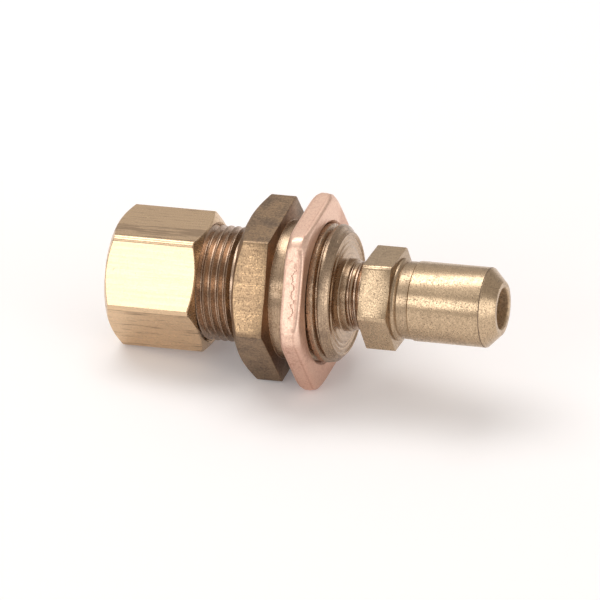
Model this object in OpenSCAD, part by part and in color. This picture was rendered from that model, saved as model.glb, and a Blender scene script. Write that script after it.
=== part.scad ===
// Burner orifice fitting: a bulkhead body that takes a gas tube at one end through a compression
// nut and its ferrule, is held in a panel by a thin locknut, and carries a hood orifice at the other.
// The axis runs along X, with the gas flowing towards +X. The origin is on the axis, in the plane of
// the body's panel seat. A male thread has the form of its teeth as rings, and a female one is a
// plain bore that clears them.

/* [Tube joint] */
// Outside diameter of the gas tube
tube_d = 11.11; // [10:0.01:11.6]
// Clearance on the tube's radius in its socket
tube_clear = 0.06; // [0.05:0.01:0.15]
// Major diameter of the compression thread
comp_d = 15.875; // [15.6:0.005:16.1]
// Pitch of the compression thread
comp_pitch = 1.058; // [0.9:0.001:1.2]
// Length of the compression thread's stem, from the hex to its tip
comp_len = 11.01; // [10.5:0.01:13]
// Depth of the tube's socket, from the stem's tip to its shoulder
socket_depth = 10.9; // [9.5:0.1:12]
// Half angle of the stem's mouth, where the ferrule seats
mouth_angle = 24; // [20:1:30]
// Width of the mouth at the stem's tip
mouth_d = 13.7; // [13.2:0.1:14]

/* [Body] */
// Width of the body's hex across its flats
body_hex_af = 22.225; // [21.8:0.005:24]
// Length of the body's hex
body_hex_len = 4.9; // [4:0.01:7]
// Turn of the body's hex from the locknut's flats
body_hex_turn = 1.4; // [-10:0.1:10]
// Major diameter of the bulkhead thread
bulkhead_d = 19.05; // [18.8:0.01:19.3]
// Pitch of the bulkhead thread
bulkhead_pitch = 1.5875; // [1.2:0.0005:1.8]
// Length of the bulkhead thread with its shank
bulkhead_len = 8.2; // [6.5:0.1:14]
// Width of the rim at the bulkhead thread's end, inside its chamfer
rim_d = 17.1; // [17:0.1:18.5]
// Rise of the body's end face, from its rim to the collar
face_rise = 0.25; // [0.1:0.01:0.8]
// Diameter of the gas passage
gas_d = 6.4; // [4:0.1:6.6]
// Diameter of the collar behind the stem that carries the hood
collar_d = 10; // [9.7:0.1:12]
// Length of that collar, from the rim
collar_len = 1.2; // [1:0.1:3]

/* [Locknut] */
// Width of the locknut across its flats
locknut_af = 23.81; // [22.5:0.01:26]
// Thickness of the locknut
locknut_t = 2.75; // [2:0.05:4]
// Depth of the countersinks in the locknut's bore
locknut_sink = 0.4; // [0.1:0.1:0.8]
// Gap between the body's hex and the locknut, where the panel goes
panel_gap = 2.7; // [1:0.01:4]

/* [Compression nut] */
// Width of the nut across its flats
nut_af = 17.1; // [16.9:0.05:19]
// Length of the nut
nut_len = 13.18; // [12:0.01:16]
// Depth of the nut's thread, from its mouth to the cone
nut_bore_depth = 9.73; // [8.6:0.01:10.5]
// Turns that the nut is on its thread
nut_turns = 4.735; // [3:0.005:5]
// Turn of the nut's hex from the locknut's flats
nut_hex_turn = -1.9; // [-30:0.1:30]

/* [Ferrule] */
// Length of the ferrule
ferrule_len = 6.35; // [5:0.05:6.5]
// Outside diameter of the ferrule
ferrule_d = 13.4; // [13:0.1:13.6]
// Outside diameter of the ferrule's front end
ferrule_nose_d = 12; // [11.9:0.1:12.4]
// Half angle of the ferrule's front taper
ferrule_angle = 15; // [12:1:20]

/* [Hood orifice] */
// Major diameter of the thread that the hood turns on
hood_thread_d = 9.525; // [9.3:0.005:9.6]
// Pitch of that thread
hood_pitch = 0.941; // [0.8:0.001:1.1]
// Length of the threaded stem, from its collar to its tip
hood_stem_len = 6.5; // [5:0.1:9]
// Turns that the hood is on its thread
hood_turns = 4.287; // [3:0.001:6]
// Width of the hood's hex across its flats
hood_hex_af = 12.6; // [12.3:0.1:14]
// Length of the hood's hex
hood_hex_len = 4.2; // [3.5:0.1:6]
// Turn of the hood's hex from the locknut's flats
hood_hex_turn = -5.7; // [-30:0.1:30]
// Length of the hood
hood_len = 18.7; // [17.5:0.1:22]
// Diameter of the hood's barrel
barrel_d = 11; // [10.8:0.1:12]
// Diameter of the turned ring between the hex and the barrel
ring_d = 10.66; // [10.4:0.1:10.8]
// Depth of the fine grooves on both sides of that ring
groove_depth = 0.17; // [0.1:0.01:0.3]
// Length from the hex to the barrel, over the step, the ring and its grooves
ring_len = 2.5; // [1.8:0.1:3.5]
// Length of the step between the hex and the ring
step_len = 0.6; // [0.3:0.1:1]
// Half angle of the hood's nose cone
nose_angle = 45; // [40:1:50]
// Width of the flat end face
nose_d = 7.3; // [6.8:0.1:8]
// Diameter of the recess in the end face
recess_d = 5.55; // [4.5:0.05:6]
// Depth of that recess
recess_depth = 2.6; // [1.5:0.1:3.5]
// Diameter of the metering orifice
orifice_d = 1.8; // [0.8:0.1:3]

/* [Fits and edges] */
// Clearance on the radius of each thread
thread_clear = 0.04; // [0.02:0.01:0.08]
// Axial gap between the ferrule and its seat in the nut
seat_gap = 0.1; // [0.05:0.05:0.2]
// Angle of the chamfers on the hexes
hex_chamfer_angle = 30; // [20:1:40]
// Width of small edge breaks
edge_break = 0.3; // [0.1:0.05:0.4]

/* [Hidden] */
ROUND = 96;
OVER = 1;

// Depth of a male thread, as a share of its pitch
THREAD_DEPTH = 0.6134;
// Share of a hex's true corner width that is left where its corners are turned off
CORNER_LEFT = 0.985;
BODY_CORNER_LEFT = 0.995;
// Share of a hex's flat width that the round end of its chamfer has
CHAMFER_SHARE = 0.95;

// Places along the axis
hex_back_x = -body_hex_len;
tip_x = hex_back_x - comp_len;
nut_mouth_x = tip_x + nut_turns * comp_pitch;
nut_back_x = nut_mouth_x - nut_len;
nut_cone_x = nut_mouth_x - nut_bore_depth;
rim_x = bulkhead_len;
collar_x = rim_x + collar_len;
stem_tip_x = collar_x + hood_stem_len;
hood_x = stem_tip_x - hood_turns * hood_pitch;
barrel_x = hood_x + hood_hex_len + ring_len;
hood_end_x = hood_x + hood_len;

// Radii that pieces share
socket_r = tube_d / 2 + tube_clear;
ferrule_bore_r = socket_r + tube_clear / 3;
nut_hole_r = socket_r + tube_clear * 1.5;
comp_relief_r = comp_d / 2 - THREAD_DEPTH * comp_pitch;
nut_thread_r = comp_d / 2 + thread_clear;
locknut_bore_r = bulkhead_d / 2 + thread_clear;
hood_bore_r = hood_thread_d / 2 + thread_clear;
stem_relief_r = hood_thread_d / 2 - THREAD_DEPTH * hood_pitch;

// The grooves of a male thread as points [radius, x], as many as fit between x0 and x1
function teeth(r, x0, x1, pitch) = [
    let (depth = THREAD_DEPTH * pitch, flank = depth * tan(30))
        for (x = [x0 + pitch / 2 : pitch : x1 - 2 * flank])
            each [[r, x], [r - depth, x + flank], [r, x + 2 * flank]]
];

function corner_r(af, left = CORNER_LEFT) = left * af / 2 / cos(30);
function chamfered_r(af) = CHAMFER_SHARE * af / 2;
function broken_r(af) = corner_r(af) - edge_break;

// A turned solid on the X axis, from points given as [radius, x]
module turned(points) {
    rotate([0, 90, 0]) rotate_extrude($fn = ROUND) polygon(points);
}

// A hex bar on the X axis, flats up and down before its turn. Its corners are turned off, and its
// ends are chamfered down to the radii back_r and front_r.
module hex_bar(af, x0, x1, back_r, front_r, turn = 0, corners = CORNER_LEFT) {
    r = corner_r(af, corners);
    slope = tan(hex_chamfer_angle);
    intersection() {
        translate([x0, 0, 0]) rotate([turn, 0, 0]) rotate([0, 90, 0]) rotate([0, 0, 30])
            cylinder(r = af / 2 / cos(30), h = x1 - x0, $fn = 6);
        turned([
            [0, x0],
            [back_r, x0],
            [r, x0 + (r - back_r) * slope],
            [r, x1 - (r - front_r) * slope],
            [front_r, x1],
            [0, x1],
        ]);
    }
}

// The stem that takes the tube, with a relief at the hex and a chamfered tip
module compression_stem() {
    r = comp_d / 2;
    chamfer = r - comp_relief_r;
    turned([
        [0, tip_x],
        [r - chamfer, tip_x],
        [r, tip_x + chamfer],
        each teeth(r, tip_x + chamfer, hex_back_x - comp_pitch - chamfer, comp_pitch),
        [r, hex_back_x - comp_pitch - chamfer],
        [comp_relief_r, hex_back_x - comp_pitch],
        [comp_relief_r, hex_back_x + OVER],
        [0, hex_back_x + OVER],
    ]);
}

// The bulkhead thread with its domed end face, the collar and the stem for the hood
module bulkhead_stem() {
    r = bulkhead_d / 2;
    rim_r = rim_d / 2;
    stem_r = hood_thread_d / 2;
    chamfer = stem_r - stem_relief_r;
    flank = chamfer * tan(30);
    turned([
        [0, -OVER],
        [r, -OVER],
        each teeth(r, panel_gap - 0.4 * bulkhead_pitch, rim_x - abs(r - rim_r), bulkhead_pitch),
        [r, rim_x - abs(r - rim_r)],
        [rim_r, rim_x],
        [collar_d / 2, rim_x + face_rise],
        [collar_d / 2, collar_x],
        [stem_relief_r, collar_x],
        [stem_r, collar_x + flank],
        each teeth(stem_r, collar_x + flank - hood_pitch / 4, stem_tip_x - chamfer, hood_pitch),
        [stem_r, stem_tip_x - chamfer],
        [stem_r - chamfer, stem_tip_x],
        [0, stem_tip_x],
    ]);
}

module bulkhead_body() {
    mouth_end_x = tip_x + (mouth_d / 2 - socket_r) / tan(mouth_angle);
    color("#b8935a")
        difference() {
            union() {
                compression_stem();
                hex_bar(body_hex_af, hex_back_x, 0, chamfered_r(body_hex_af),
                    broken_r(body_hex_af), body_hex_turn, BODY_CORNER_LEFT);
                bulkhead_stem();
            }
            turned([
                [0, tip_x - OVER],
                [mouth_d / 2 + OVER * tan(mouth_angle), tip_x - OVER],
                [socket_r, mouth_end_x],
                [socket_r, tip_x + socket_depth],
                [gas_d / 2, tip_x + socket_depth],
                [gas_d / 2, stem_tip_x + OVER],
                [0, stem_tip_x + OVER],
            ]);
        }
}

module locknut() {
    x0 = panel_gap;
    x1 = x0 + locknut_t;
    color("#d08a72")
        difference() {
            hex_bar(locknut_af, x0, x1, broken_r(locknut_af), broken_r(locknut_af), 0, BODY_CORNER_LEFT);
            turned([
                [0, x0 - OVER],
                [locknut_bore_r + locknut_sink + OVER, x0 - OVER],
                [locknut_bore_r, x0 + locknut_sink],
                [locknut_bore_r, x1 - locknut_sink],
                [locknut_bore_r + locknut_sink + OVER, x1 + OVER],
                [0, x1 + OVER],
            ]);
        }
}

module compression_nut() {
    cone_end_x = nut_cone_x - (nut_thread_r - nut_hole_r);
    color("#cfa765")
        difference() {
            hex_bar(nut_af, nut_back_x, nut_mouth_x, chamfered_r(nut_af),
                nut_thread_r + 1.25 * edge_break, nut_hex_turn);
            turned([
                [0, cone_end_x],
                [nut_hole_r, cone_end_x],
                [nut_thread_r, nut_cone_x],
                [nut_thread_r, nut_mouth_x - edge_break],
                [nut_thread_r + edge_break + OVER, nut_mouth_x + OVER],
                [0, nut_mouth_x + OVER],
            ]);
            turned([
                [0, nut_back_x - OVER],
                [nut_hole_r + edge_break + OVER, nut_back_x - OVER],
                [nut_hole_r, nut_back_x + edge_break],
                [nut_hole_r, nut_cone_x],
                [0, nut_cone_x],
            ]);
        }
}

// The sleeve that the nut squeezes onto the tube. Its rear bevel lies along the nut's cone, and both
// of its bevels stay within its wall.
module ferrule() {
    r = ferrule_d / 2;
    nose_r = max(ferrule_nose_d / 2, ferrule_bore_r + edge_break);
    taper_len = abs(r - nose_r) / tan(ferrule_angle);
    bevel = min(r - ferrule_bore_r - edge_break, ferrule_len - taper_len - edge_break);
    back_r = r - bevel;
    back_x = nut_cone_x - (nut_thread_r - back_r) + seat_gap;
    front_x = back_x + ferrule_len;
    color("#c79d5c")
        turned([
            [ferrule_bore_r, back_x],
            [back_r, back_x],
            [r, back_x + bevel],
            [r, front_x - taper_len],
            [nose_r, front_x],
            [ferrule_bore_r, front_x],
        ]);
}

module hood_orifice() {
    r = barrel_d / 2;
    ring_r = ring_d / 2;
    step_x = hood_x + hood_hex_len;
    ring_x = step_x + step_len;
    cone_len = (r - nose_d / 2) / tan(nose_angle);
    step_r = chamfered_r(hood_hex_af);
    step_slope = (step_r - ring_r + groove_depth) / step_len;
    root_len = OVER / 10;
    seat_x = stem_tip_x + seat_gap;
    chamber_r = gas_d / 2;
    hole_r = orifice_d / 2;
    recess_r = recess_d / 2;
    recess_x = hood_end_x - recess_depth;
    point_x = recess_x - (recess_r - hole_r) * tan(hex_chamfer_angle);
    hole_x = point_x - orifice_d;
    color("#bd9757")
        difference() {
            union() {
                hex_bar(hood_hex_af, hood_x, step_x, broken_r(hood_hex_af),
                    broken_r(hood_hex_af), hood_hex_turn);
                turned([
                    [0, step_x - root_len],
                    [step_r + root_len * step_slope, step_x - root_len],
                    [ring_r - groove_depth, ring_x],
                    [ring_r, ring_x + groove_depth],
                    [ring_r, barrel_x - 2 * groove_depth],
                    [ring_r - groove_depth, barrel_x - groove_depth],
                    [r, barrel_x],
                    [r, hood_end_x - cone_len],
                    [nose_d / 2, hood_end_x],
                    [0, hood_end_x],
                ]);
            }
            turned([
                [0, hood_x - OVER],
                [hood_bore_r + edge_break + OVER, hood_x - OVER],
                [hood_bore_r, hood_x + edge_break],
                [hood_bore_r, seat_x],
                [chamber_r, seat_x],
                [chamber_r, hole_x - (chamber_r - hole_r)],
                [hole_r, hole_x],
                [hole_r, point_x],
                [recess_r, recess_x],
                [recess_r, hood_end_x + OVER],
                [0, hood_end_x + OVER],
            ]);
        }
}

bulkhead_body();
locknut();
compression_nut();
ferrule();
hood_orifice();
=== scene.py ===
# %% [markdown]
# # A burner orifice fitting
# This fitting brings gas through a panel. A tube goes in at the nut's end, a thin locknut holds the
# body in the panel, and a small hood with a drilled nose meters the gas at the other end.
# The solid model is loaded first. It fixes every size, so each piece below is shaped round it, in
# metres, with the fitting's axis along X.

# %% Load the solid model
import math

import bmesh
import bpy
from mathutils import Matrix, Vector


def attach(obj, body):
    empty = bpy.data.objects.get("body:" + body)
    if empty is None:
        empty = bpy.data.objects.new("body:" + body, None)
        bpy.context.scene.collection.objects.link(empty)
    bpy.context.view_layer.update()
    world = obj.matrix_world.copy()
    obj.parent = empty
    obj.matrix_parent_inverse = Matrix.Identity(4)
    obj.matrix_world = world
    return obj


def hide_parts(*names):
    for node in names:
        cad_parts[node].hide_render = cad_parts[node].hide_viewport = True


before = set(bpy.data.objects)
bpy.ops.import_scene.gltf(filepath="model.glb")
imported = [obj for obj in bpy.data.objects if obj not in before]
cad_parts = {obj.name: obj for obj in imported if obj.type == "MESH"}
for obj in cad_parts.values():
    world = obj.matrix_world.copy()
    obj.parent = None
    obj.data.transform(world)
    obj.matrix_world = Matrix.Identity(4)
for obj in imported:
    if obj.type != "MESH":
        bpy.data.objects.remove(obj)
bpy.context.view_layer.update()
MM = 0.001

# %% [markdown]
# ## Sizes
# The sizes are those of the solid model, in millimetres along the axis and across it, and the turns
# are in degrees. A few differ from it by up to 0.25 mm, where the photograph shows it: the locknut's
# flats, the collar's end and the depths of the two threads in front of the hex. Naming them once
# keeps the pieces in step: the collar and the thread beside it move together.

# %% Sizes, in millimetres
HEX_FLATS, HEX_BACK = 22.225, -4.9
COMP_MAJOR, COMP_PITCH, COMP_DEPTH, COMP_TIP = 15.875, 1.058, 0.649, -15.91
SOCKET_R, SOCKET_END, MOUTH_R, MOUTH_END = 5.615, -5.01, 6.85, -13.14
BULK_MAJOR, BULK_PITCH, BULK_DEPTH, RIM_X, RIM_R = 19.05, 1.5875, 0.72, 8.2, 8.55
COLLAR_R, COLLAR_X = 5.0, 9.55
STEM_MAJOR, STEM_PITCH, STEM_DEPTH, STEM_TIP = 9.525, 0.941, 0.45, 15.9
GAS_R = 3.2
NUT_FLATS, NUT_BACK, NUT_MOUTH, NUT_CONE = 17.1, -24.08, -10.9, -20.63
LOCK_FLATS, LOCK_BACK, LOCK_FRONT = 24.0, 2.7, 5.45
HOOD_FLATS, HOOD_BACK, HOOD_STEP, BARREL_X = 12.6, 11.866, 16.066, 18.566
BARREL_R, HOOD_END, NOSE_R, RECESS_R, ORIFICE_R = 5.5, 30.566, 3.65, 2.775, 0.9
HEX_TURN, NUT_TURN, HOOD_TURN = 1.4, -1.9, -5.7
print("overall length, mm:", round(HOOD_END - NUT_BACK, 2))

# %% [markdown]
# ## Soft corners
# A real edge is never quite sharp, and it always catches a line of light. A bevel could round the
# edges of the finished mesh. Here the outline is rounded before it is turned, so every corner can
# have a radius of its own and the rings of faces beside it stay even.

# %% Round the corners of an outline
STRAIGHT = 0.05
REACH = 0.45


def rounded(points, radius=0.1, parts=3):
    """The outline with a small arc at each corner, where a point may name its own radius. An angle
    within STRAIGHT radians of a straight line stays, and an arc takes at most REACH of a side."""
    out = []
    for i, here in enumerate(points):
        p = Vector(here[:2])
        back = Vector(points[i - 1][:2]) - p
        on = Vector(points[(i + 1) % len(points)][:2]) - p
        r = here[2] if len(here) > 2 else radius
        if r == 0 or abs(back.angle(on) - math.pi) < STRAIGHT:
            out.append(tuple(p))
            continue
        cut = min(r / math.tan(back.angle(on) / 2), back.length * REACH, on.length * REACH)
        start, end = p + back.normalized() * cut, p + on.normalized() * cut
        for k in range(parts + 1):
            t = k / parts
            out.append(tuple((1 - t) ** 2 * start + 2 * t * (1 - t) * p + t * t * end))
    return out


print("a square corner becomes", len(rounded([(0, 0), (1, 0), (1, 1), (0, 1)])) // 4, "points")

# %% [markdown]
# ## A turned blank
# Every piece of this fitting starts as bar stock in a lathe. The computer's lathe is `spin`: an
# outline on one side of the axis goes right round it. All the pieces have a hole through them, so
# the outline is a closed loop and the result is a closed ring with no pole to pinch the shading.

# %% Spin a closed outline round the axis
CENTRE, AXIS = (0, 0, 0), (1, 0, 0)
SAME_POINT = 2e-7


def wire(bm, points, closed):
    """Draws (x, radius) points, in mm, as a line beside the axis."""
    line = [bm.verts.new((x * MM, 0, r * MM)) for x, r in points]
    ends = line[1:] + (line[:1] if closed else [])
    for a, b in zip(line, ends):
        bm.edges.new((a, b))


def everything(bm):
    return bm.verts[:] + bm.edges[:] + bm.faces[:]


def copied_points(bm, geom):
    """Duplicates part of a mesh and gives the points of the copy."""
    copy = bmesh.ops.duplicate(bm, geom=geom)["geom"]
    return [g for g in copy if isinstance(g, bmesh.types.BMVert)]


def turned(points, steps=480, parts=12):
    """A bmesh from a closed (x, radius) outline in mm. One part of the turn is spun, and copies of
    it, each turned on by one part, close the ring. That is much faster than one long spin."""
    bm = bmesh.new()
    wire(bm, points, closed=True)
    bmesh.ops.spin(
        bm, geom=bm.verts[:] + bm.edges[:], cent=CENTRE, axis=AXIS,
        angle=math.tau / parts, steps=steps // parts,
    )
    first = everything(bm)
    for k in range(1, parts):
        turn = Matrix.Rotation(math.tau * k / parts, 3, "X")
        bmesh.ops.rotate(bm, verts=copied_points(bm, first), cent=CENTRE, matrix=turn)
    bmesh.ops.remove_doubles(bm, verts=bm.verts, dist=SAME_POINT)
    bmesh.ops.recalc_face_normals(bm, faces=bm.faces)
    return bm


print("lathe ready")

# %% [markdown]
# ## From blank to piece
# A bmesh is only a workbench. The finished mesh goes to an object, which rides on the body that it
# moves with and may stand for a node of the solid model. All faces are shaded smooth, and the edges
# that fold by more than CRISP degrees are marked sharp, so a flat looks flat beside a round stretch.

# %% Finish a piece
CRISP = 32


def finished(bm, name, body, finish, node=None, second=None, border=0.0):
    """Turns the bmesh into a piece that rides on a body. Faces beyond the border along X, in mm,
    take the second finish if there is one."""
    for face in bm.faces:
        face.smooth = True
        if second:
            face.material_index = int(face.calc_center_median().x > border * MM)
    for edge in bm.edges:
        edge.smooth = not (edge.is_manifold and edge.calc_face_angle(0) > math.radians(CRISP))
    mesh = bpy.data.meshes.new(name)
    bm.to_mesh(mesh)
    bm.free()
    mesh.materials.append(finish)
    if second:
        mesh.materials.append(second)
    piece = bpy.data.objects.new(name, mesh)
    bpy.context.scene.collection.objects.link(piece)
    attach(piece, body)
    if node:
        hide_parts(node)
    print(name, "has", len(mesh.polygons), "faces")
    return piece


print("bench ready")

# %% [markdown]
# ## Flats on a blank
# A hex nut is a round blank whose outline was drawn or milled to six flats. `hexed` does the same:
# it stretches each ring from the round outline to the hexagon with its softened corners. Then the
# chamfer tool comes, a wide cone at one or both ends, which takes the corners back to a circle. Where
# cone and flat meet there is a curved edge, the arcs that every chamfered nut shows.

# %% Stretch a blank to a hexagon and chamfer it
SIXTH = math.pi / 3
CHAMFER_SLOPE = 1 / math.tan(math.radians(30))
CHAMFER = 0.95


def hex_radius(angle, flats, corner):
    """Distance from the axis to a hexagon with rounded corners, at an angle from a flat's middle."""
    a = flats / 2
    phi = (angle + SIXTH / 2) % SIXTH - SIXTH / 2
    if abs(math.tan(phi)) * a <= (a - corner) * math.tan(SIXTH / 2):
        return a / math.cos(phi)
    far, off = (a - corner) / math.cos(SIXTH / 2), SIXTH / 2 - abs(phi)
    return far * math.cos(off) + math.sqrt(max(corner**2 - (far * math.sin(off)) ** 2, 0))


def soft_min(a, b, width):
    """The smaller of two radii, with a soft change from one to the other."""
    h = max(width - abs(a - b), 0) / width
    return min(a, b) - h * h * width / 4


def place(v):
    """Where a point is along the axis and how far it is from it, in mm."""
    return v.co.x / MM, math.hypot(v.co.y, v.co.z) / MM


def move_out(v, r, new):
    """Moves a point from the radius r to the radius new."""
    v.co.y, v.co.z = v.co.y * new / r, v.co.z * new / r


def hexed(bm, flats, corner, turn, x0, x1, hold, most, back=None, front=None, soft=0.12):
    """Presses the part between x0 and x1 to a hexagon. Radii up to hold stay round, and most is the
    radius that the corners are turned to. back and front are the radii that the 30 degree chamfers
    start from, and soft is how wide the blend between chamfer and flat is."""
    for v in bm.verts:
        x, r = place(v)
        if r <= hold or not x0 - 0.001 < x < x1 + 0.001:
            continue
        edge = hex_radius(math.atan2(v.co.y, v.co.z) + math.radians(turn), flats, corner)
        new = hold + (r - hold) * (min(edge, most) - hold) / (flats / 2 - hold)
        if back is not None:
            new = soft_min(new, back + (x - x0) * CHAMFER_SLOPE, soft)
        if front is not None:
            new = soft_min(new, front + (x1 - x) * CHAMFER_SLOPE, soft)
        move_out(v, r, new)
    bmesh.ops.remove_doubles(bm, verts=bm.verts, dist=1e-7)
    bmesh.ops.recalc_face_normals(bm, faces=bm.faces)


def cut_finer(bm, x0, x1, longer, beyond, cuts=14):
    """Cuts the lengthwise edges between x0 and x1, where they are longer than that and beyond that
    radius, all in mm. A chamfer needs these rings, or its arcs come out as steps."""
    near = [
        e for e in bm.edges
        if x0 * MM < (e.verts[0].co.x + e.verts[1].co.x) / 2 < x1 * MM
        and abs(e.verts[0].co.x - e.verts[1].co.x) > longer * MM
        and e.verts[0].co.yz.length > beyond * MM
    ]
    bmesh.ops.subdivide_edges(bm, edges=near, cuts=cuts, use_grid_fill=True)


print("flats ready")

# %% [markdown]
# ## Threads
# A thread is one tooth that climbs as it goes round. `spin` can climb as well: with a dvec it moves
# on by a little at each step, and after one turn it has moved by the pitch, where it meets its own
# start. The rest is what a machinist does. The ends are cut square with `bisect_plane`, the start
# is chamfered and the last turn runs out into the relief, both by holding the radius back.

# %% Spin a thread along the axis
def tooth(root, top, depth, crest):
    """One tooth from root to root, as shares of the pitch and radii, with its edges a little soft."""
    left, right = 0.5 - crest / 2, 0.5 + crest / 2
    lean = (1 - crest) / 2 * 0.72 * 0.1
    foot, shoulder, edge = root + depth * 0.02, top - depth * 0.16, top - depth * 0.02
    return [
        (0, root), (0.06, foot), (left - lean, shoulder), (left + 0.04, edge), (0.5, top),
        (right - 0.04, edge), (right + lean, shoulder), (0.94, foot), (1, root),
    ]


def sleeved(bm, x0, x1, bore):
    """Folds both cut ends in to the bore and joins them, so that the thread is a closed sleeve."""
    for x in (x0, x1):
        rim = [
            e for e in bm.edges
            if e.is_boundary and all(abs(v.co.x - x * MM) < 1e-7 for v in e.verts)
        ]
        made = bmesh.ops.extrude_edge_only(bm, edges=rim)["geom"]
        for v in [g for g in made if isinstance(g, bmesh.types.BMVert)]:
            s = bore * MM / math.hypot(v.co.y, v.co.z)
            v.co.y, v.co.z = v.co.y * s, v.co.z * s
    bmesh.ops.remove_doubles(bm, verts=bm.verts, dist=SAME_POINT)
    bmesh.ops.bridge_loops(bm, edges=[e for e in bm.edges if e.is_boundary])
    bmesh.ops.recalc_face_normals(bm, faces=bm.faces)


def thread(x0, x1, major, pitch, depth, crest, core, start=0.0, lead=0.0, tail=0.0, steps=120):
    """A right-hand thread between x0 and x1, in mm, on a sleeve with the radius core inside. crest
    is the share of the pitch that the top of the tooth takes, and start is the angle it begins at.
    lead and tail are the chamfers at its two ends."""
    top, root = major / 2, major / 2 - depth
    bm = bmesh.new()
    wire(bm, [(x0 + (t - 1.0) * pitch, r) for t, r in tooth(root, top, depth, crest)], closed=False)
    begin = Matrix.Rotation(math.radians(start), 3, "X")
    bmesh.ops.rotate(bm, verts=bm.verts, cent=CENTRE, matrix=begin)
    bmesh.ops.spin(
        bm, geom=bm.verts[:] + bm.edges[:], cent=CENTRE, axis=AXIS,
        dvec=(pitch * MM / steps, 0, 0), angle=math.tau, steps=steps,
    )
    first = everything(bm)
    turns = math.ceil((x1 - x0) / pitch) + 2
    for k in range(1, turns):
        bmesh.ops.translate(bm, verts=copied_points(bm, first), vec=(k * pitch * MM, 0, 0))
    bmesh.ops.remove_doubles(bm, verts=bm.verts, dist=SAME_POINT)
    for x, way in ((x0, -1), (x1, 1)):
        bmesh.ops.bisect_plane(
            bm, geom=everything(bm), dist=1e-8,
            plane_co=(x * MM, 0, 0), plane_no=(way, 0, 0), clear_outer=True,
        )
    for v in bm.verts:
        x, r = place(v)
        most = top
        if lead:
            most = min(most, top - lead + (x - x0))
        if tail:
            most = min(most, top - tail + (x1 - x))
        move_out(v, r, min(r, most))
    sleeved(bm, x0, x1, core)
    print("thread:", len(bm.faces), "faces,", sum(e.is_boundary for e in bm.edges), "open edges")
    return bm


# %% [markdown]
# ## Shader maths
# A material is a web of nodes. Writing `1 - mask * 0.5` reads better than a list of boxes and
# cables, so a small class stands for one socket, and each operator on it adds a Math node.
# One method makes every other node from its type, its settings and its inputs.

# %% A socket that can be calculated with
class Signal:
    """One output of a node."""

    def __init__(self, web, socket):
        self.web, self.socket = web, socket

    def maths(self, operation, a, b=0.0):
        return self.web.node("ShaderNodeMath", {"operation": operation}, {0: a, 1: b})

    def __add__(self, other):
        return self.maths("ADD", self, other)

    def __sub__(self, other):
        return self.maths("SUBTRACT", self, other)

    def __mul__(self, other):
        return self.maths("MULTIPLY", self, other)

    def __pow__(self, other):
        return self.maths("POWER", self, other)

    def __abs__(self):
        return self.maths("ABSOLUTE", self)

    def __rsub__(self, other):
        return self.maths("SUBTRACT", other, self)

    __radd__, __rmul__ = __add__, __mul__


print("sockets ready")

# %% [markdown]
# ## A web of nodes
# Materials and the world keep their nodes in the same kind of tree, so one class serves both. A Mix
# node has sockets for each kind of data, and those for colours are the sixth and seventh inputs and
# the second output, counted from 0.

# %% The nodes of a material or of the world
MIX_FACTOR, MIX_A, MIX_B, MIX_COLOUR = 0, 6, 7, 2


class Web:
    """The empty node tree of a material or of the world."""

    def __init__(self, owner):
        self.owner = owner
        owner.use_nodes = True
        self.tree = owner.node_tree
        self.tree.nodes.clear()

    def node(self, kind, settings=None, inputs=None, out=0):
        """Adds a node. Its settings come first, then each input gets a value or a link."""
        made = self.tree.nodes.new(kind)
        for key, value in (settings or {}).items():
            setattr(made, key, value)
        for key, value in (inputs or {}).items():
            if isinstance(value, Signal):
                self.tree.links.new(value.socket, made.inputs[key])
            else:
                made.inputs[key].default_value = value
        return Signal(self, made.outputs[out]) if len(made.outputs) else None

    def blend(self, a, b, factor):
        """Mixes two colours."""
        a, b = [(*c, 1) if isinstance(c, tuple) else c for c in (a, b)]
        settings = {"data_type": "RGBA", "clamp_factor": True}
        inputs = {MIX_FACTOR: factor, MIX_A: a, MIX_B: b}
        return self.node("ShaderNodeMix", settings, inputs, out=MIX_COLOUR)

    def ramp(self, value, low, high):
        """0 below low, 1 above high and a soft step between."""
        settings = {"interpolation_type": "SMOOTHSTEP"}
        return self.node("ShaderNodeMapRange", settings, {0: value, 1: low, 2: high, 3: 0.0, 4: 1.0})

    def noise(self, where, stretch, detail, rough, shift):
        """Soft noise from 0 to 1. stretch is how many bumps there are in a millimetre, per axis."""
        scaled = self.node(
            "ShaderNodeVectorMath", {"operation": "MULTIPLY_ADD"},
            {0: where, 1: tuple(s / MM for s in stretch), 2: shift},
        )
        inputs = {"Vector": scaled, "Scale": 1.0, "Detail": detail, "Roughness": rough}
        return self.node("ShaderNodeTexNoise", {}, inputs)


print("shader maths ready")

# %% [markdown]
# ## What tools and time leave on brass
# Bare brass is a mirror that has lost its polish. What tells one piece from another is how it was
# made and what happened since: drawn bar has fine lines along it, turned faces have rings round
# the axis, tumbling leaves fine pits, and handling and heat leave a brown bloom. Painted images
# could hold these marks. Noise on Object coordinates needs no unwrapping, and stretching it along
# the axis or round it gives the lines and the rings.

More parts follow.
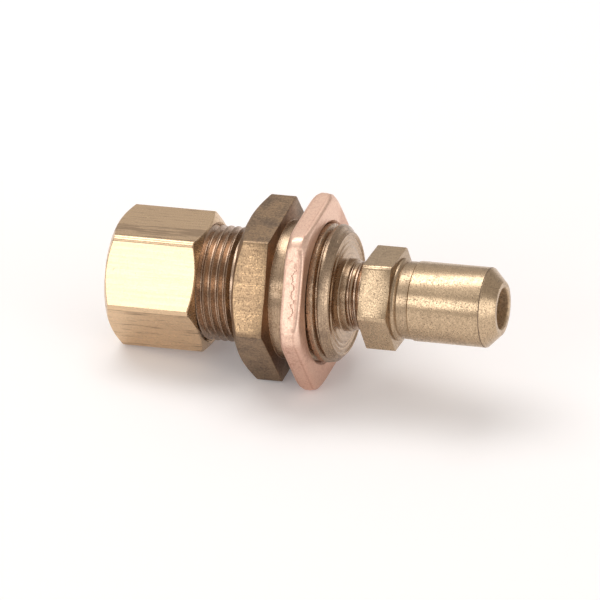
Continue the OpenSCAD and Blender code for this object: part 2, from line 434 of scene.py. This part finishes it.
# %% The marks on a metal
class Metal(Web):
    """A material with the marks ready to use. angle runs round the axis, in degrees from the top."""

    def __init__(self, name, seed):
        super().__init__(bpy.data.materials.new(name))
        self.seed = seed
        self.where = where = self.node("ShaderNodeTexCoord", out="Object")
        split = self.node("ShaderNodeSeparateXYZ", {}, {0: where})
        self.x, y, z = [Signal(self, socket) for socket in split.socket.node.outputs]
        self.radius = (y * y + z * z) ** 0.5
        self.angle = y.maths("ARCTAN2", y * -1.0, z) * (180 / math.pi)
        lathe = self.node("ShaderNodeCombineXYZ", {}, {0: self.x, 1: self.radius, 2: 0.0})
        self.drawn = self.noise(where, (0.12, 4.5, 4.5), 4.0, 0.6, (seed, 0, 0))
        self.stains = self.noise(where, (0.22, 2.6, 2.6), 4.0, 0.6, (0, seed, seed))
        self.turns = self.noise(lathe, (7.0, 7.0, 0.0), 3.0, 0.6, (0, seed, 0))
        self.cloud = self.noise(where, (0.35, 0.35, 0.35), 4.0, 0.6, (seed, seed, 0))
        self.dents = self.noise(where, (3.2, 3.2, 3.2), 4.0, 0.6, (seed, 0, seed))
        self.grain = self.noise(where, (5.5, 5.5, 5.5), 2.0, 0.5, (0, 0, seed))
        self.fine = self.noise(where, (6.5, 6.5, 6.5), 2.0, 0.7, (seed, 0, 0))

    def within(self, distance, full, none):
        """1 up to the distance full, 0 from the distance none."""
        return 1.0 - self.ramp(distance, full, none)

    def step(self, value, at, soft):
        """0 before a place in mm and 1 behind it."""
        return self.ramp(value, (at - soft) * MM, (at + soft) * MM)

    def stretch(self, start, end):
        """1 between two places along the axis, in mm."""
        return self.step(self.x, start, 0.04) - self.step(self.x, end, 0.04)

    def angled_line(self, at, skin):
        """A fine line along the axis, at an angle, beyond the radius skin."""
        off = abs((self.angle - at) * (math.pi / 180) * self.radius)
        return self.within(off, 0.03 * MM, 0.10 * MM) * self.step(self.radius, skin, 0.05)

    def torn_line(self, at, skin):
        """A wavering line round the axis, at a place in mm, on the side that faces the front."""
        wave = self.noise(self.where, (0.0, 0.9, 0.9), 3.0, 0.6, (self.seed, 0, 0)) - 0.5
        off = abs(self.x - at * MM - wave * (2.4 * MM))
        torn = self.within(off, 0.02 * MM, 0.10 * MM) * self.step(self.radius, skin, 0.1)
        return torn * self.within(abs(self.angle - 60.0), 14.0, 20.0)


print("marks ready")

# %% [markdown]
# ## One family of metals
# One function makes every metal of the fitting, with an amount for each mark, so that the pieces
# stay one family. The colour goes from bright to dull with the tool marks, and to brown where there
# is bloom, a streak, a pit or painted shade. The same marks make the metal rougher and give it a
# little relief, because a mark that changes only the colour looks printed on.

# %% A metal from its colours and marks
def metal(name, bright, dull, brown, *, seed, bloom, lines, specks, mottle, grit, rough, bump,
          bloom_most=0.5, rings=0.0, streaks=0.0, rough_more=0.2, shade_away=0.0, lit_at=60.0,
          lit_half=26.0, band=None, die_and_shade_lines=(), shear=None, shade_stretches=(), skin=0.0, drilled=None):
    """shade_away is painted shade: it browns all but lit_half degrees each way from lit_at, the side
    that faces the lamps, and there it thins the bloom and hides the streaks. The streaks gather round
    the angle band. die_and_shade_lines are the angles of fine dark lines along the axis, partly die
    lines and partly painted shade that splits a corner's highlight, and shear is where a torn line
    runs. shade_stretches lists stretches along the axis, in mm, that are browner with painted shade,
    with an amount for each. The dark lines and torn lines show beyond the radius skin, and within
    the radius drilled the metal is rough."""
    m = Metal(name, seed)
    pits = m.ramp(m.grain, 0.57, 0.68)
    tone = m.ramp(m.drawn, 0.30, 0.70) * lines + m.ramp(m.turns, 0.30, 0.70) * rings
    tone = tone + m.ramp(m.dents, 0.35, 0.68) * mottle + m.ramp(m.fine, 0.35, 0.65) * grit
    bloom_and_shade = m.ramp(m.cloud * 0.6 + m.dents * 0.4, *bloom) * bloom_most
    stains = m.stains
    if band is not None:
        stains = stains + m.within(abs(m.angle - band), 2.0, 12.0) * 0.16
    stain_and_shade_lines = m.ramp(stains, 0.54, 0.70) * streaks
    # Painted shade browns every side but the one that faces the lamps, where bloom and streaks thin.
    if shade_away:
        away = m.ramp(abs(m.angle - lit_at), lit_half, lit_half + 7.0)
        bloom_and_shade = bloom_and_shade * (away * 0.4 + 0.6) + away * shade_away
        stain_and_shade_lines = stain_and_shade_lines * away
    # Painted shade along stretches of the axis, in crevices, grooves and beside other parts.
    for start, end, amount in shade_stretches:
        bloom_and_shade = bloom_and_shade + m.stretch(start, end) * amount
    # Dark lines along the axis: die lines, and painted shade where a line splits a corner's
    # highlight.
    for at in die_and_shade_lines:
        stain_and_shade_lines = stain_and_shade_lines + m.angled_line(at, skin) * 0.6
    if shear:
        stain_and_shade_lines = stain_and_shade_lines + m.torn_line(shear, skin) * 0.7
    colour = m.blend(bright, dull, tone)
    for amount in (bloom_and_shade, stain_and_shade_lines, pits * specks):
        colour = m.blend(colour, brown, amount)
    roughness = rough + tone * rough_more * 0.5 + bloom_and_shade * rough_more + stain_and_shade_lines * rough_more
    roughness = roughness + pits * (specks * 0.3)
    if drilled:
        roughness = roughness + m.within(m.radius, (drilled - 0.1) * MM, drilled * MM) * 0.4
    height = m.drawn * lines + m.turns * rings + m.dents * (mottle * 0.4) + m.grain * 0.3
    height = height + m.fine * (grit * 0.4) - pits * specks * 0.5 - stain_and_shade_lines * 0.5
    relief = {"Strength": 1.0, "Distance": bump * MM, "Height": height}
    normal = m.node("ShaderNodeBump", {}, relief)
    inputs = {"Base Color": colour, "Metallic": 1.0, "Roughness": roughness, "Normal": normal}
    shader = m.node("ShaderNodeBsdfPrincipled", {}, inputs)
    m.node("ShaderNodeOutputMaterial", {}, {"Surface": shader})
    print("finish:", name, len(m.tree.nodes), "nodes")
    return m.owner


# %% [markdown]
# ## The nut's metal
# The nut is the brightest piece, of drawn bar. The die left fine lines along its flats, and brown
# streaks gather on the top flat beside the front one. A few dark lines are set by their angle round
# the axis, so they run the nut's full length as a die's do; they are partly die lines and partly
# painted shade that splits the highlight on a corner. A faint painted shade browns all but the front
# flat.

# %% Drawn brass
NUT_METAL = metal(
    "drawn_brass", (0.80, 0.58, 0.37), (0.62, 0.45, 0.29), (0.26, 0.18, 0.12), seed=1.0,
    bloom=(0.56, 0.78), bloom_most=0.4, lines=0.4, streaks=0.7, specks=0.12, mottle=0.15,
    grit=0.25, rough=0.22, bump=0.025, shade_away=0.04, lit_at=58.1, band=13.0,
    die_and_shade_lines=(24.6, 28.1, 31.0, 90.5), skin=8.35,
)

# %% [markdown]
# ## The compression nut
# The long nut pulls the ferrule onto the tube. It is drawn hex bar: soft corners, flats with lines
# along them, a chamfer at the back and only a broken edge at its mouth. The blank is turned with
# its bore, and the flats come after, which keeps the bore round inside the hexagon.

# %% Compression nut
nut_r = NUT_FLATS / 2
nut_hole, nut_bore, nut_mouth_r, broken, end_zone = 5.705, 7.978, 8.35, 0.3, 1.0
outline = [
    (NUT_BACK, nut_hole + broken), (NUT_BACK, nut_r * CHAMFER), (NUT_BACK + 0.25, nut_r, 0),
    (NUT_BACK + end_zone, nut_r, 0), (NUT_MOUTH - end_zone, nut_r, 0),
    (NUT_MOUTH - 0.12, nut_r, 0), (NUT_MOUTH, nut_mouth_r),
    (NUT_MOUTH, nut_bore + broken), (NUT_MOUTH - broken, nut_bore), (NUT_CONE, nut_bore),
    (NUT_CONE - (nut_bore - nut_hole), nut_hole), (NUT_BACK + broken, nut_hole),
]
bm = turned(rounded(outline, 0.08))
cut_finer(bm, NUT_BACK, NUT_BACK + end_zone, 0.2, CHAMFER * NUT_FLATS / 2)
cut_finer(bm, NUT_MOUTH - end_zone, NUT_MOUTH, 0.2, CHAMFER * NUT_FLATS / 2)
hexed(
    bm, NUT_FLATS, 0.25, NUT_TURN, NUT_BACK, NUT_MOUTH, nut_bore + 0.31, 9.70,
    back=nut_r * CHAMFER, front=nut_mouth_r,
)
finished(bm, "nut_brass", "nut", NUT_METAL, "compression_nut")

# %% [markdown]
# ## The body's metals
# The body's hex has a brown bloom, and painted shade browns it further all round, apart from the
# flat that faces the front. Everything in front of the hex was turned in a lathe, so rings take the
# place of lines there, and painted shade browns the shank between the hex and the locknut and the
# collar where it rises from the dished face. The faced brass's brown is warm, partly a painted
# reflection of the hex and the locknut. One piece can carry both metals.

# %% Aged brass and faced brass, both with painted shade
# Painted shade browns all but the front flat of the hex, on top of its bloom.
HEX_METAL = metal(
    "aged_and_shaded_brass", (0.60, 0.405, 0.23), (0.37, 0.25, 0.15), (0.16, 0.115, 0.085), seed=5.0,
    bloom=(0.38, 0.72), bloom_most=0.70, lines=0.45, streaks=0.4, specks=0.6, mottle=0.3,
    grit=0.6, rough=0.24, bump=0.03, shade_away=0.36, lit_at=61.4,
)
# Painted shade browns the shank and the collar, and the warm brown is partly a painted reflection.
FACE_METAL = metal(
    "faced_brass", (0.64, 0.47, 0.32), (0.40, 0.29, 0.20), (0.22, 0.135, 0.075), seed=4.0,
    bloom=(0.46, 0.74), bloom_most=0.6, lines=0.0, rings=0.6, specks=0.3, mottle=0.3,
    grit=0.3, rough=0.14, bump=0.02, shade_stretches=((0.0, 2.9, 0.22), (8.62, 9.9, 0.25)),
)

# %% [markdown]
# ## The body
# The body is one turned piece with a hex left in its middle. Here its core is turned from the tube
# socket to the stem for the hood, with the hex pressed out of a wide collar. The threads come after
# as three sleeves on it. The shank beside the hex is smooth, where the panel sits, and the end face
# is dished, with low rings that the facing tool left.

# %% Body core with its hex
hex_r, shank_r = HEX_FLATS / 2, BULK_MAJOR / 2
comp_root, groove_r, stem_root = COMP_MAJOR / 2 - COMP_DEPTH, BULK_MAJOR / 2 - 0.8, 4.2
hex_zone, face_x = 1.45, RIM_X + 0.38
hex_and_shank = [
    (COMP_TIP, MOUTH_R), (COMP_TIP, comp_root), (HEX_BACK, comp_root, 0.15),
    (HEX_BACK, hex_r * CHAMFER), (HEX_BACK + 0.32, hex_r, 0), (HEX_BACK + hex_zone, hex_r, 0),
    (0, hex_r, 0.14), (0, shank_r, 0.12), (2.85, shank_r, 0.12), (3.1, groove_r),
    (RIM_X - 0.3, groove_r),
]
end_face = [
    (RIM_X - 0.05, RIM_R - 0.05), (RIM_X + 0.11, RIM_R - 0.14, 0.1),
    (RIM_X + 0.09, RIM_R - 0.36, 0.1), (RIM_X - 0.09, RIM_R - 0.5, 0.1),
    (RIM_X + 0.06, 7.65, 0.12), (RIM_X - 0.04, 7.35, 0.12), (RIM_X + 0.13, 7.1, 0.15),
    (RIM_X + 0.04, 6.75, 0.15), (RIM_X + 0.22, 6.4, 0.2), (RIM_X + 0.26, 5.5, 0.3),
]
collar_and_stem = [
    (face_x - 0.08, COLLAR_R + 0.05, 0.1), (face_x + 0.1, COLLAR_R, 0.1), (COLLAR_X, COLLAR_R, 0.2),
    (COLLAR_X + 0.22, 4.62, 0.15), (COLLAR_X + 0.7, 4.55), (COLLAR_X + 0.8, stem_root),
    (STEM_TIP, stem_root),
]
passage = [
    (STEM_TIP, GAS_R), (SOCKET_END, GAS_R), (SOCKET_END, SOCKET_R), (MOUTH_END, SOCKET_R),
]
bm = turned(rounded(hex_and_shank + end_face + collar_and_stem + passage, 0.08))
cut_finer(bm, HEX_BACK, HEX_BACK + hex_zone, 0.15, 0.94 * hex_r)
hexed(
    bm, HEX_FLATS, 0.3, HEX_TURN, HEX_BACK, 0, shank_r + 0.2, 12.74,
    back=hex_r * CHAMFER,
)
finished(bm, "body_core", "body", HEX_METAL, "bulkhead_body", FACE_METAL, 0.02)

# %% [markdown]
# ## The threads' metals
# Threads are cut in a lathe, so they have rings and no lines. The two fine ones share a metal. The
# coarse bulkhead thread gets its own, with more bloom, more specks and deeper tool marks.

# %% Thread brass and turned brass
THREAD_METAL = metal(
    "thread_brass", (0.62, 0.45, 0.33), (0.38, 0.275, 0.20), (0.20, 0.14, 0.10), seed=9.0,
    bloom=(0.45, 0.7), lines=0.0, rings=0.7, specks=0.25, mottle=0.2, grit=0.3, rough=0.16,
    rough_more=0.25, bump=0.03,
)
TURNED_METAL = metal(
    "turned_brass", (0.62, 0.455, 0.31), (0.38, 0.275, 0.19), (0.20, 0.14, 0.10), seed=3.0,
    bloom=(0.42, 0.7), bloom_most=0.7, lines=0.0, rings=0.7, specks=0.4, mottle=0.4, grit=0.4,
    rough=0.15, bump=0.045,
)

# %% [markdown]
# ## The three threads
# The compression nut runs on the fine thread at the back, the locknut on the coarse one in the
# middle, and the hood on the small one at the front. On the real piece they are cut into the body.
# Here each is a sleeve on the core, which keeps its mesh clean where it ends at a shoulder.

# %% Threads of the body
bm = thread(
    COMP_TIP, HEX_BACK - 1.0, COMP_MAJOR, COMP_PITCH, COMP_DEPTH, crest=0.16, core=6.9,
    lead=0.65, tail=0.65,
)
finished(bm, "compression_thread", "body", THREAD_METAL)
bm = thread(
    2.9, RIM_X, BULK_MAJOR, BULK_PITCH, BULK_DEPTH, crest=0.5, core=8.25, start=-59,
    tail=shank_r - RIM_R,
)
finished(bm, "bulkhead_thread", "body", TURNED_METAL)
bm = thread(
    COLLAR_X + 0.05, STEM_TIP, STEM_MAJOR, STEM_PITCH, STEM_DEPTH, crest=0.3, core=3.9, start=163,
    tail=0.5,
)
finished(bm, "stem_thread", "body", THREAD_METAL)

# %% [markdown]
# ## The locknut's metal
# The locknut is copper pink and looks tumbled, which dulls it and leaves dents. A torn line runs
# along its edge, like the line where a punch stops cutting and the plate breaks. Painted shade
# browns its lower side and its back, and two narrow bands of it darken the flats where they turn
# into the rounded edges.

# %% Tumbled copper
# Painted shade browns the lower side and back, and darkens bands at the edges of the flats.
COPPER_METAL = metal(
    "copper_tumbled", (0.96, 0.70, 0.55), (0.80, 0.535, 0.42), (0.48, 0.23, 0.165), seed=2.0,
    bloom=(0.50, 0.74), lines=0.0, specks=0.3, mottle=0.5, grit=0.4, rough=0.36, bump=0.06,
    shade_away=0.3, lit_at=25.0, lit_half=66.0, shear=4.35, skin=11.7,
    shade_stretches=((2.95, 3.15, 0.22), (4.66, 4.94, 0.22)),
)

# %% [markdown]
# ## The locknut
# The locknut is stamped from copper-coloured plate, so nothing on it is sharp after tumbling. A
# hexagonal plate with bevelled edges would do, but here a round disc whose edges are already
# rounded is pressed to the hexagon, so that the rounding follows the outline all the way.

# %% Locknut
lock_r, lock_bore, lock_break = LOCK_FLATS / 2, BULK_MAJOR / 2 + 0.04, 0.4
outline = [
    (LOCK_BACK, lock_r, 0.3), (LOCK_BACK + 0.75, lock_r, 0), (LOCK_BACK + 1.1, lock_r, 0),
    (LOCK_FRONT - 1.25, lock_r, 0), (LOCK_FRONT, lock_r, 0.55),
    (LOCK_FRONT, lock_bore + lock_break), (LOCK_FRONT - lock_break, lock_bore),
    (LOCK_BACK + lock_break, lock_bore), (LOCK_BACK, lock_bore + lock_break),
]
bm = turned(rounded(outline, 0.1, 5))
hexed(
    bm, LOCK_FLATS, 2.0, 0, LOCK_BACK, LOCK_FRONT, lock_bore + 0.5, 13.78,
    back=12.75, front=12.55, soft=0.45,
)
finished(bm, "locknut_copper", "locknut", COPPER_METAL, "locknut")

# %% [markdown]
# ## The hood's metal
# The hood is turned fine and has dulled, so its satin comes from specks and grit and hardly from
# lines. Painted shade browns the step behind the barrel, beside the hex, and a dark ring of painted
# shade marks the small groove at the edge of the cone; the nose and its recess are a touch browner.
# A line of painted shade splits the highlight along the hex's upper corner, and the drilled recess
# is rougher than the outside.

# %% Satin brass
# Painted shade browns the step and rings the cone's edge, and a line of it splits the corner's
# highlight.
HOOD_METAL = metal(
    "satin_brass", (0.725, 0.54, 0.355), (0.44, 0.325, 0.21), (0.20, 0.14, 0.10), seed=7.0,
    bloom=(0.50, 0.74), lines=0.05, rings=0.2, specks=0.65, mottle=0.35, grit=0.6, rough=0.20,
    bump=0.012, die_and_shade_lines=(24.4,), skin=6.25, drilled=2.95,
    shade_stretches=((16.0, 18.5, 0.22), (28.60, 28.72, 0.9), (28.72, 31.0, 0.05)),
)

# %% [markdown]
# ## The hood orifice
# The hood screws on the stem. It is turned from hex bar: a short hex for the spanner, a step and a
# ring, the barrel that the mixer tube slides over, and a cone nose with a recess and the small
# metering hole. All of it fits in one outline, the way it comes off the lathe in one go.

# %% Hood orifice
cone_x = HOOD_END - (BARREL_R - NOSE_R)
hood_r, ring_r, hood_bore = HOOD_FLATS / 2, 5.33, STEM_MAJOR / 2 + 0.04
orifice_x, throat_x, stem_room = 26.3, 24.1, 0.1
hex_and_ring = [
    (HOOD_BACK, hood_bore + 0.3), (HOOD_BACK, hood_r, 0.14), (HOOD_STEP, hood_r, 0.14),
    (HOOD_STEP, 5.60, 0.05), (HOOD_STEP + 0.15, 5.72, 0.15), (HOOD_STEP + 0.5, 5.6, 0.3),
    (HOOD_STEP + 0.72, 5.2, 0.05), (HOOD_STEP + 0.85, ring_r, 0.05),
]
barrel_and_cone = [
    (BARREL_X - 0.16, ring_r, 0.03), (BARREL_X - 0.10, 5.27, 0.02), (BARREL_X, BARREL_R, 0.1),
    (cone_x - 0.10, BARREL_R, 0.03), (cone_x - 0.05, BARREL_R - 0.06, 0.02),
    (cone_x + 0.03, BARREL_R - 0.03, 0.03), (HOOD_END, NOSE_R, 0.2),
]
inside = [
    (HOOD_END, RECESS_R + 0.2), (HOOD_END - 0.2, RECESS_R), (HOOD_END - 2.6, RECESS_R),
    (HOOD_END - 3.7, ORIFICE_R), (orifice_x, ORIFICE_R), (throat_x, GAS_R),
    (STEM_TIP + stem_room, GAS_R), (STEM_TIP + stem_room, hood_bore), (HOOD_BACK + 0.3, hood_bore),
]
bm = turned(rounded(hex_and_ring + barrel_and_cone + inside, 0.06), steps=360)
hexed(bm, HOOD_FLATS, 0.25, HOOD_TURN, HOOD_BACK, HOOD_STEP, 5.75, 7.12)
finished(bm, "hood_brass", "hood", HOOD_METAL, "hood_orifice")

# %% [markdown]
# ## The ferrule
# The ferrule is the sleeve inside the nut. Its solid already has the right shape, so it stays and
# only gets the drawn brass.

# %% Ferrule
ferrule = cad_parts["ferrule"]
ferrule.data.materials.clear()
ferrule.data.materials.append(NUT_METAL)
print("ferrule keeps its solid")

# %% [markdown]
# ## Floor
# The fitting lies on a pale floor, resting on the nut's back edge and on the lowest flat of the
# locknut, so its axis points up a little. The model keeps its axis level, and the floor tilts
# instead. Brighter lamps would turn the floor white but burn out the brass. So its material glows
# a little, only for rays that come from the camera, a reflection or glass, and keeps the shadow.

# %% Floor
rest_nut, rest_lock = Vector((-23.16, 0, -8.62)) * MM, Vector((2.7, 0, -12.01)) * MM
FLOOR_HALF, FLOOR_GAP, FLOOR_GLOW = 4.0, 0.00002, 0.13
along = (rest_lock - rest_nut).normalized()
floor_up = Vector((-along.z, 0, along.x)).normalized()
bm = bmesh.new()
bmesh.ops.create_grid(bm, x_segments=1, y_segments=1, size=FLOOR_HALF)
mesh = bpy.data.meshes.new("floor")
bm.to_mesh(mesh)
bm.free()
tilt = Vector((0, 0, 1)).rotation_difference(floor_up).to_matrix().to_4x4()
mesh.transform(Matrix.Translation(rest_lock - floor_up * FLOOR_GAP) @ tilt)
floor = bpy.data.objects.new("floor", mesh)
bpy.context.scene.collection.objects.link(floor)
f = Web(bpy.data.materials.new("pale_floor"))
paper = f.node("ShaderNodeBsdfDiffuse", {}, {"Color": (0.95, 0.93, 0.92, 1)})
rays = ("Is Camera Ray", "Is Glossy Ray", "Is Transmission Ray")
seen = sum(f.node("ShaderNodeLightPath", out=ray) for ray in rays) * FLOOR_GLOW
glow = f.node("ShaderNodeEmission", {}, {"Color": (0.92, 0.93, 1.0, 1), "Strength": seen})
both = f.node("ShaderNodeAddShader", {}, {0: paper, 1: glow})
f.node("ShaderNodeOutputMaterial", {}, {"Surface": both})
mesh.materials.append(f.owner)
print("floor tilts by", round(math.degrees(floor_up.angle(Vector((0, 0, 1)))), 2), "degrees")

# %% [markdown]
# ## Light
# Metal shows what is round it, so the lamps are placed by what each surface mirrors. The front box
# shines in the nut's front flat, the mid box fills between it and the bright top box, which makes
# the line along the barrel, the side box lights the end face, and the back box only lifts what
# faces away. The room is a plain warm grey, and the pale floor fills the camera's picture.

# %% World and lamps
world = bpy.data.worlds.new("studio")
bpy.context.scene.world = world
w = Web(world)
room = w.node("ShaderNodeBackground", {}, {"Color": (1.0, 0.935, 0.88, 1), "Strength": 0.50})
w.node("ShaderNodeOutputWorld", {}, {"Surface": room})
FAR = 0.9


def softbox(name, towards, size, level):
    """A rectangular lamp that faces the fitting. level is how bright it looks, where 1 is white."""
    lamp = bpy.data.lights.new(name, "AREA")
    lamp.shape, lamp.size, lamp.size_y = "RECTANGLE", size[0], size[1]
    lamp.energy = math.pi * size[0] * size[1] * level
    piece = bpy.data.objects.new(name, lamp)
    bpy.context.scene.collection.objects.link(piece)
    way = Vector(towards).normalized()
    piece.location = way * FAR
    piece.rotation_euler = way.to_track_quat("Z", "Y").to_euler()
    piece.visible_camera = False
    print(name, "level", level)


softbox("front_box", (-0.32, -0.83, 0.45), (0.42, 0.40), 2.3)
softbox("mid_box", (-0.30, -0.27, 0.91), (0.6, 0.46), 0.5)
softbox("top_box", (-0.20, 0.27, 0.94), (0.9, 0.42), 3.2)
softbox("back_box", (-0.25, 0.80, 0.56), (0.9, 0.6), 0.13)
softbox("side_box", (0.95, -0.27, 0.13), (0.5, 0.5), 1.6)

# %% [markdown]
# ## Camera
# The camera was found from the photograph: its long lens, its place and its slight roll put the
# hex corners and rings where the picture has them. A camera looks along its own -Z, so the three
# columns of its matrix are its right, its up and the way back.

# %% Camera
yaw, pitch, roll = math.radians(20.40), math.radians(30.0), math.radians(-5.20)
camera_far, sensor, focal_px, photo_px = 1.2568, 36.0, 9171.7, 600
target = Vector((1.35, 0, -1.62)) * MM
ahead = Vector((-math.sin(yaw) * math.cos(pitch), math.cos(yaw) * math.cos(pitch), -math.sin(pitch)))
level_right = Vector((math.cos(yaw), math.sin(yaw), 0))
level_up = level_right.cross(ahead)
right = math.cos(roll) * level_right + math.sin(roll) * level_up
up = math.cos(roll) * level_up - math.sin(roll) * level_right
lens = bpy.data.cameras.new("camera")
lens.sensor_width, lens.lens = sensor, sensor * focal_px / photo_px
lens.clip_start, lens.clip_end = 0.05, 20
camera = bpy.data.objects.new("camera", lens)
bpy.context.scene.collection.objects.link(camera)
stand = Matrix((right, up, -ahead)).transposed().to_4x4()
stand.translation = target - ahead * camera_far
camera.matrix_world = stand
bpy.context.scene.camera = camera
bpy.context.scene.view_settings.view_transform = "Standard"
print("camera at, mm:", [round(v / MM, 1) for v in stand.translation])

# %% Update the scene
bpy.context.view_layer.update()
